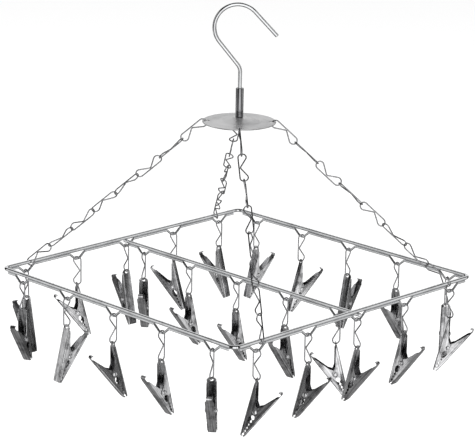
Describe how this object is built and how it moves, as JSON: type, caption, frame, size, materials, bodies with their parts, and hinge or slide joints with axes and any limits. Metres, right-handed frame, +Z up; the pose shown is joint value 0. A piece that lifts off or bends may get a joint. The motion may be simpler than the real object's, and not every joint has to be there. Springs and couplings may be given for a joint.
{
  "type": "clip drying hanger",
  "caption": "Square wire drying hanger: hook, swivel disc and link chains carry a rod frame with a middle bar, hung with spring clips.",
  "frame": {"origin": "top of the hook's mouth, where the hook rests on a rail, on the swivel axis", "axes": "+Z up along the swivel axis; X and Y along the sides of the square frame; the middle bar runs along X"},
  "size_m": [0.3914, 0.3914, 0.381],
  "materials": {
    "wire_chrome": "polished",
    "link_wire": "polished",
    "sleeve_dark": "dark polished",
    "disc_satin": "satin",
    "clip_steel": "bright rolled",
    "lever_steel": "bright rolled"
  },
  "bodies": {
    "hook_body": {"hook": "wire_chrome", "hook_sleeve": "sleeve_dark"},
    "hanger": {"top_disc": "disc_satin", "frame_rod": "wire_chrome", "frame_notch_wires": "wire_chrome", "middle_bar": "wire_chrome", "chain_left": "link_wire", "chain_back": "link_wire", "chain_right": "link_wire", "chain_front": "link_wire"},
    "clip_front_1": {"clip_front_1": "clip_steel"},
    "lever_front_1": {"lever_front_1": "lever_steel"},
    "clip_front_2": {"clip_front_2": "clip_steel"},
    "lever_front_2": {"lever_front_2": "lever_steel"},
    "clip_front_3": {"clip_front_3": "clip_steel"},
    "lever_front_3": {"lever_front_3": "lever_steel"},
    "clip_front_4": {"clip_front_4": "clip_steel"},
    "lever_front_4": {"lever_front_4": "lever_steel"},
    "clip_front_5": {"clip_front_5": "clip_steel"},
    "lever_front_5": {"lever_front_5": "lever_steel"},
    "clip_right_1": {"clip_right_1": "clip_steel"},
    "lever_right_1": {"lever_right_1": "lever_steel"},
    "clip_right_2": {"clip_right_2": "clip_steel"},
    "lever_right_2": {"lever_right_2": "lever_steel"},
    "clip_right_3": {"clip_right_3": "clip_steel"},
    "lever_right_3": {"lever_right_3": "lever_steel"},
    "clip_right_4": {"clip_right_4": "clip_steel"},
    "lever_right_4": {"lever_right_4": "lever_steel"},
    "clip_right_5": {"clip_right_5": "clip_steel"},
    "lever_right_5": {"lever_right_5": "lever_steel"},
    "clip_back_1": {"clip_back_1": "clip_steel"},
    "lever_back_1": {"lever_back_1": "lever_steel"},
    "clip_back_2": {"clip_back_2": "clip_steel"},
    "lever_back_2": {"lever_back_2": "lever_steel"},
    "clip_back_3": {"clip_back_3": "clip_steel"},
    "lever_back_3": {"lever_back_3": "lever_steel"},
    "clip_back_4": {"clip_back_4": "clip_steel"},
    "lever_back_4": {"lever_back_4": "lever_steel"},
    "clip_back_5": {"clip_back_5": "clip_steel"},
    "lever_back_5": {"lever_back_5": "lever_steel"},
    "clip_left_1": {"clip_left_1": "clip_steel"},
    "lever_left_1": {"lever_left_1": "lever_steel"},
    "clip_left_2": {"clip_left_2": "clip_steel"},
    "lever_left_2": {"lever_left_2": "lever_steel"},
    "clip_left_3": {"clip_left_3": "clip_steel"},
    "lever_left_3": {"lever_left_3": "lever_steel"},
    "clip_left_4": {"clip_left_4": "clip_steel"},
    "lever_left_4": {"lever_left_4": "lever_steel"},
    "clip_left_5": {"clip_left_5": "clip_steel"},
    "lever_left_5": {"lever_left_5": "lever_steel"},
    "clip_middle_1": {"clip_middle_1": "clip_steel"},
    "lever_middle_1": {"lever_middle_1": "lever_steel"},
    "clip_middle_2": {"clip_middle_2": "clip_steel"},
    "lever_middle_2": {"lever_middle_2": "lever_steel"},
    "clip_middle_3": {"clip_middle_3": "clip_steel"},
    "lever_middle_3": {"lever_middle_3": "lever_steel"},
    "clip_middle_4": {"clip_middle_4": "clip_steel"},
    "lever_middle_4": {"lever_middle_4": "lever_steel"},
    "clip_middle_5": {"clip_middle_5": "clip_steel"},
    "lever_middle_5": {"lever_middle_5": "lever_steel"}
  },
  "joints": [
    {"name": "hook_swivel", "type": "hinge", "parent": "hook_body", "child": "hanger", "pos_m": [0, 0, -0.118], "axis": [0, 0, 1], "continuous": true},
    {"name": "swing_front_1", "type": "hinge", "parent": "hanger", "child": "clip_front_1", "pos_m": [-0.14, -0.17, -0.2876], "axis": [1, 0, 0], "range_deg": [-40, 40]},
    {"name": "swing_front_2", "type": "hinge", "parent": "hanger", "child": "clip_front_2", "pos_m": [-0.07, -0.17, -0.2876], "axis": [1, 0, 0], "range_deg": [-40, 40]},
    {"name": "swing_front_3", "type": "hinge", "parent": "hanger", "child": "clip_front_3", "pos_m": [0, -0.17, -0.2876], "axis": [1, 0, 0], "range_deg": [-40, 40]},
    {"name": "swing_front_4", "type": "hinge", "parent": "hanger", "child": "clip_front_4", "pos_m": [0.07, -0.17, -0.2876], "axis": [1, 0, 0], "range_deg": [-40, 40]},
    {"name": "swing_front_5", "type": "hinge", "parent": "hanger", "child": "clip_front_5", "pos_m": [0.14, -0.17, -0.2876], "axis": [1, 0, 0], "range_deg": [-40, 40]},
    {"name": "swing_right_1", "type": "hinge", "parent": "hanger", "child": "clip_right_1", "pos_m": [0.17, -0.14, -0.2876], "axis": [0, 1, 0], "range_deg": [-40, 5]},
    {"name": "swing_right_2", "type": "hinge", "parent": "hanger", "child": "clip_right_2", "pos_m": [0.17, -0.07, -0.2876], "axis": [0, 1, 0], "range_deg": [-40, 40]},
    {"name": "swing_right_3", "type": "hinge", "parent": "hanger", "child": "clip_right_3", "pos_m": [0.17, 0, -0.2876], "axis": [0, 1, 0], "range_deg": [-40, 1]},
    {"name": "swing_right_4", "type": "hinge", "parent": "hanger", "child": "clip_right_4", "pos_m": [0.17, 0.07, -0.2876], "axis": [0, 1, 0], "range_deg": [-40, 40]},
    {"name": "swing_right_5", "type": "hinge", "parent": "hanger", "child": "clip_right_5", "pos_m": [0.17, 0.14, -0.2876], "axis": [0, 1, 0], "range_deg": [-40, 5]},
    {"name": "swing_back_1", "type": "hinge", "parent": "hanger", "child": "clip_back_1", "pos_m": [-0.14, 0.17, -0.2876], "axis": [1, 0, 0], "range_deg": [-40, 40]},
    {"name": "swing_back_2", "type": "hinge", "parent": "hanger", "child": "clip_back_2", "pos_m": [-0.07, 0.17, -0.2876], "axis": [1, 0, 0], "range_deg": [-40, 40]},
    {"name": "swing_back_3", "type": "hinge", "parent": "hanger", "child": "clip_back_3", "pos_m": [0, 0.17, -0.2876], "axis": [1, 0, 0], "range_deg": [-40, 40]},
    {"name": "swing_back_4", "type": "hinge", "parent": "hanger", "child": "clip_back_4", "pos_m": [0.07, 0.17, -0.2876], "axis": [1, 0, 0], "range_deg": [-40, 40]},
    {"name": "swing_back_5", "type": "hinge", "parent": "hanger", "child": "clip_back_5", "pos_m": [0.14, 0.17, -0.2876], "axis": [1, 0, 0], "range_deg": [-40, 40]},
    {"name": "swing_left_1", "type": "hinge", "parent": "hanger", "child": "clip_left_1", "pos_m": [-0.17, -0.14, -0.2876], "axis": [0, 1, 0], "range_deg": [-3, 40]},
    {"name": "swing_left_2", "type": "hinge", "parent": "hanger", "child": "clip_left_2", "pos_m": [-0.17, -0.07, -0.2876], "axis": [0, 1, 0], "range_deg": [-40, 40]},
    {"name": "swing_left_3", "type": "hinge", "parent": "hanger", "child": "clip_left_3", "pos_m": [-0.17, 0, -0.2876], "axis": [0, 1, 0], "range_deg": [-1, 40]},
    {"name": "swing_left_4", "type": "hinge", "parent": "hanger", "child": "clip_left_4", "pos_m": [-0.17, 0.07, -0.2876], "axis": [0, 1, 0], "range_deg": [-40, 40]},
    {"name": "swing_left_5", "type": "hinge", "parent": "hanger", "child": "clip_left_5", "pos_m": [-0.17, 0.14, -0.2876], "axis": [0, 1, 0], "range_deg": [-5, 40]},
    {"name": "swing_middle_1", "type": "hinge", "parent": "hanger", "child": "clip_middle_1", "pos_m": [-0.142, 0, -0.29052], "axis": [1, 0, 0], "range_deg": [-1, 40]},
    {"name": "swing_middle_2", "type": "hinge", "parent": "hanger", "child": "clip_middle_2", "pos_m": [-0.071, 0, -0.29052], "axis": [1, 0, 0], "range_deg": [-40, 40]},
    {"name": "swing_middle_3", "type": "hinge", "parent": "hanger", "child": "clip_middle_3", "pos_m": [0, 0, -0.29052], "axis": [1, 0, 0], "range_deg": [-40, 40]},
    {"name": "swing_middle_4", "type": "hinge", "parent": "hanger", "child": "clip_middle_4", "pos_m": [0.071, 0, -0.29052], "axis": [1, 0, 0], "range_deg": [-40, 40]},
    {"name": "swing_middle_5", "type": "hinge", "parent": "hanger", "child": "clip_middle_5", "pos_m": [0.142, 0, -0.29052], "axis": [1, 0, 0], "range_deg": [-40, 40]},
    {"name": "squeeze_front_1", "type": "hinge", "parent": "clip_front_1", "child": "lever_front_1", "pos_m": [-0.13984, -0.17032, -0.34731], "axis": [-0.891, -0.454, 0], "range_deg": [0, 30], "stiffness_Nm_per_rad": 0.05, "springref_deg": -34.38},
    {"name": "squeeze_front_2", "type": "hinge", "parent": "clip_front_2", "child": "lever_front_2", "pos_m": [-0.06998, -0.16964, -0.34731], "axis": [0.9986, -0.0523, 0], "range_deg": [0, 30], "stiffness_Nm_per_rad": 0.05, "springref_deg": -34.38},
    {"name": "squeeze_front_3", "type": "hinge", "parent": "clip_front_3", "child": "lever_front_3", "pos_m": [-0.00009, -0.17035, -0.34731], "axis": [-0.9659, 0.2588, 0], "range_deg": [0, 30], "stiffness_Nm_per_rad": 0.05, "springref_deg": -34.38},
    {"name": "squeeze_front_4", "type": "hinge", "parent": "clip_front_4", "child": "lever_front_4", "pos_m": [0.07002, -0.17036, -0.34731], "axis": [-0.9986, -0.0523, 0], "range_deg": [0, 30], "stiffness_Nm_per_rad": 0.05, "springref_deg": -34.38},
    {"name": "squeeze_front_5", "type": "hinge", "parent": "clip_front_5", "child": "lever_front_5", "pos_m": [0.14023, -0.17028, -0.34731], "axis": [-0.766, -0.6428, 0], "range_deg": [0, 30], "stiffness_Nm_per_rad": 0.05, "springref_deg": -34.38},
    {"name": "squeeze_right_1", "type": "hinge", "parent": "clip_right_1", "child": "lever_right_1", "pos_m": [0.17032, -0.13984, -0.34731], "axis": [0.454, -0.891, 0], "range_deg": [0, 30], "stiffness_Nm_per_rad": 0.05, "springref_deg": -34.38},
    {"name": "squeeze_right_2", "type": "hinge", "parent": "clip_right_2", "child": "lever_right_2", "pos_m": [0.17035, -0.06993, -0.34731], "axis": [0.2079, -0.9781, 0], "range_deg": [0, 30], "stiffness_Nm_per_rad": 0.05, "springref_deg": -34.38},
    {"name": "squeeze_right_3", "type": "hinge", "parent": "clip_right_3", "child": "lever_right_3", "pos_m": [0.17036, 0.00006, -0.34731], "axis": [0.1564, -0.9877, 0], "range_deg": [0, 30], "stiffness_Nm_per_rad": 0.05, "springref_deg": -34.38},
    {"name": "squeeze_right_4", "type": "hinge", "parent": "clip_right_4", "child": "lever_right_4", "pos_m": [0.17036, 0.07002, -0.34731], "axis": [0.0523, -0.9986, 0], "range_deg": [0, 30], "stiffness_Nm_per_rad": 0.05, "springref_deg": -34.38},
    {"name": "squeeze_right_5", "type": "hinge", "parent": "clip_right_5", "child": "lever_right_5", "pos_m": [0.1703, 0.1402, -0.34731], "axis": [0.5446, -0.8387, 0], "range_deg": [0, 30], "stiffness_Nm_per_rad": 0.05, "springref_deg": -34.38},
    {"name": "squeeze_back_1", "type": "hinge", "parent": "clip_back_1", "child": "lever_back_1", "pos_m": [-0.13996, 0.17036, -0.34731], "axis": [0.9945, -0.1045, 0], "range_deg": [0, 30], "stiffness_Nm_per_rad": 0.05, "springref_deg": -34.38},
    {"name": "squeeze_back_2", "type": "hinge", "parent": "clip_back_2", "child": "lever_back_2", "pos_m": [-0.06984, 0.17032, -0.34731], "axis": [0.891, -0.454, 0], "range_deg": [0, 30], "stiffness_Nm_per_rad": 0.05, "springref_deg": -34.38},
    {"name": "squeeze_back_3", "type": "hinge", "parent": "clip_back_3", "child": "lever_back_3", "pos_m": [-0.00006, 0.17036, -0.34731], "axis": [0.9877, 0.1564, 0], "range_deg": [0, 30], "stiffness_Nm_per_rad": 0.05, "springref_deg": -34.38},
    {"name": "squeeze_back_4", "type": "hinge", "parent": "clip_back_4", "child": "lever_back_4", "pos_m": [0.07004, 0.16964, -0.34731], "axis": [-0.9945, -0.1045, 0], "range_deg": [0, 30], "stiffness_Nm_per_rad": 0.05, "springref_deg": -34.38},
    {"name": "squeeze_back_5", "type": "hinge", "parent": "clip_back_5", "child": "lever_back_5", "pos_m": [0.13979, 0.17029, -0.34731], "axis": [0.8192, 0.5736, 0], "range_deg": [0, 30], "stiffness_Nm_per_rad": 0.05, "springref_deg": -34.38},
    {"name": "squeeze_left_1", "type": "hinge", "parent": "clip_left_1", "child": "lever_left_1", "pos_m": [-0.17035, -0.13994, -0.34731], "axis": [0.1736, 0.9848, 0], "range_deg": [0, 30], "stiffness_Nm_per_rad": 0.05, "springref_deg": -34.38},
    {"name": "squeeze_left_2", "type": "hinge", "parent": "clip_left_2", "child": "lever_left_2", "pos_m": [-0.17014, -0.07033, -0.34731], "axis": [-0.9272, 0.3746, 0], "range_deg": [0, 30], "stiffness_Nm_per_rad": 0.05, "springref_deg": -34.38},
    {"name": "squeeze_left_3", "type": "hinge", "parent": "clip_left_3", "child": "lever_left_3", "pos_m": [-0.17036, 0.00006, -0.34731], "axis": [0.1564, 0.9877, 0], "range_deg": [0, 30], "stiffness_Nm_per_rad": 0.05, "springref_deg": -34.38},
    {"name": "squeeze_left_4", "type": "hinge", "parent": "clip_left_4", "child": "lever_left_4", "pos_m": [-0.1703, 0.0698, -0.34731], "axis": [-0.5446, 0.8387, 0], "range_deg": [0, 30], "stiffness_Nm_per_rad": 0.05, "springref_deg": -34.38},
    {"name": "squeeze_left_5", "type": "hinge", "parent": "clip_left_5", "child": "lever_left_5", "pos_m": [-0.17035, 0.13994, -0.34731], "axis": [-0.1736, 0.9848, 0], "range_deg": [0, 30], "stiffness_Nm_per_rad": 0.05, "springref_deg": -34.38},
    {"name": "squeeze_middle_1", "type": "hinge", "parent": "clip_middle_1", "child": "lever_middle_1", "pos_m": [-0.14177, -0.00028, -0.35023], "axis": [-0.766, -0.6428, 0], "range_deg": [0, 30], "stiffness_Nm_per_rad": 0.05, "springref_deg": -34.38},
    {"name": "squeeze_middle_2", "type": "hinge", "parent": "clip_middle_2", "child": "lever_middle_2", "pos_m": [-0.071, -0.00036, -0.35023], "axis": [-1, 0, 0], "range_deg": [0, 30], "stiffness_Nm_per_rad": 0.05, "springref_deg": -34.38},
    {"name": "squeeze_middle_3", "type": "hinge", "parent": "clip_middle_3", "child": "lever_middle_3", "pos_m": [0.00002, -0.00036, -0.35023], "axis": [-0.9986, -0.0523, 0], "range_deg": [0, 30], "stiffness_Nm_per_rad": 0.05, "springref_deg": -34.38},
    {"name": "squeeze_middle_4", "type": "hinge", "parent": "clip_middle_4", "child": "lever_middle_4", "pos_m": [0.07106, -0.00036, -0.35023], "axis": [-0.9877, -0.1564, 0], "range_deg": [0, 30], "stiffness_Nm_per_rad": 0.05, "springref_deg": -34.38},
    {"name": "squeeze_middle_5", "type": "hinge", "parent": "clip_middle_5", "child": "lever_middle_5", "pos_m": [0.14177, -0.00028, -0.35023], "axis": [-0.7771, 0.6293, 0], "range_deg": [0, 30], "stiffness_Nm_per_rad": 0.05, "springref_deg": -34.38}
  ]
}
